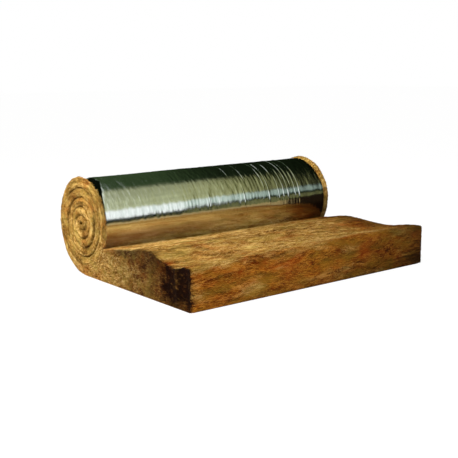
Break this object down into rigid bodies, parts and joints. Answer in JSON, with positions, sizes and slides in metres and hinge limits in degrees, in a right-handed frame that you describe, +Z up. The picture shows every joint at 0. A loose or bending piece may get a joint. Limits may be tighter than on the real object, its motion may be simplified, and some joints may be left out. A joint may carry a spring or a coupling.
{
  "type": "insulation roll",
  "caption": "Foil-faced mineral wool mat wound into a roll and partly unrolled on the floor, wool side up, with a straight cut end and a narrow winding eye.",
  "frame": {"origin": "on the floor, under the middle of the whole piece", "axes": "+X along the roll's axis, +Y from the cut end towards the roll, +Z up"},
  "size_m": [1.2, 0.9264, 0.3989],
  "materials": {
    "mineral_wool": "fibrous, matte",
    "aluminium_foil": "bright, lightly wrinkled"
  },
  "bodies": {
    "root": {"wool_mat": "mineral_wool", "foil_facing": "aluminium_foil"}
  },
  "joints": []
}
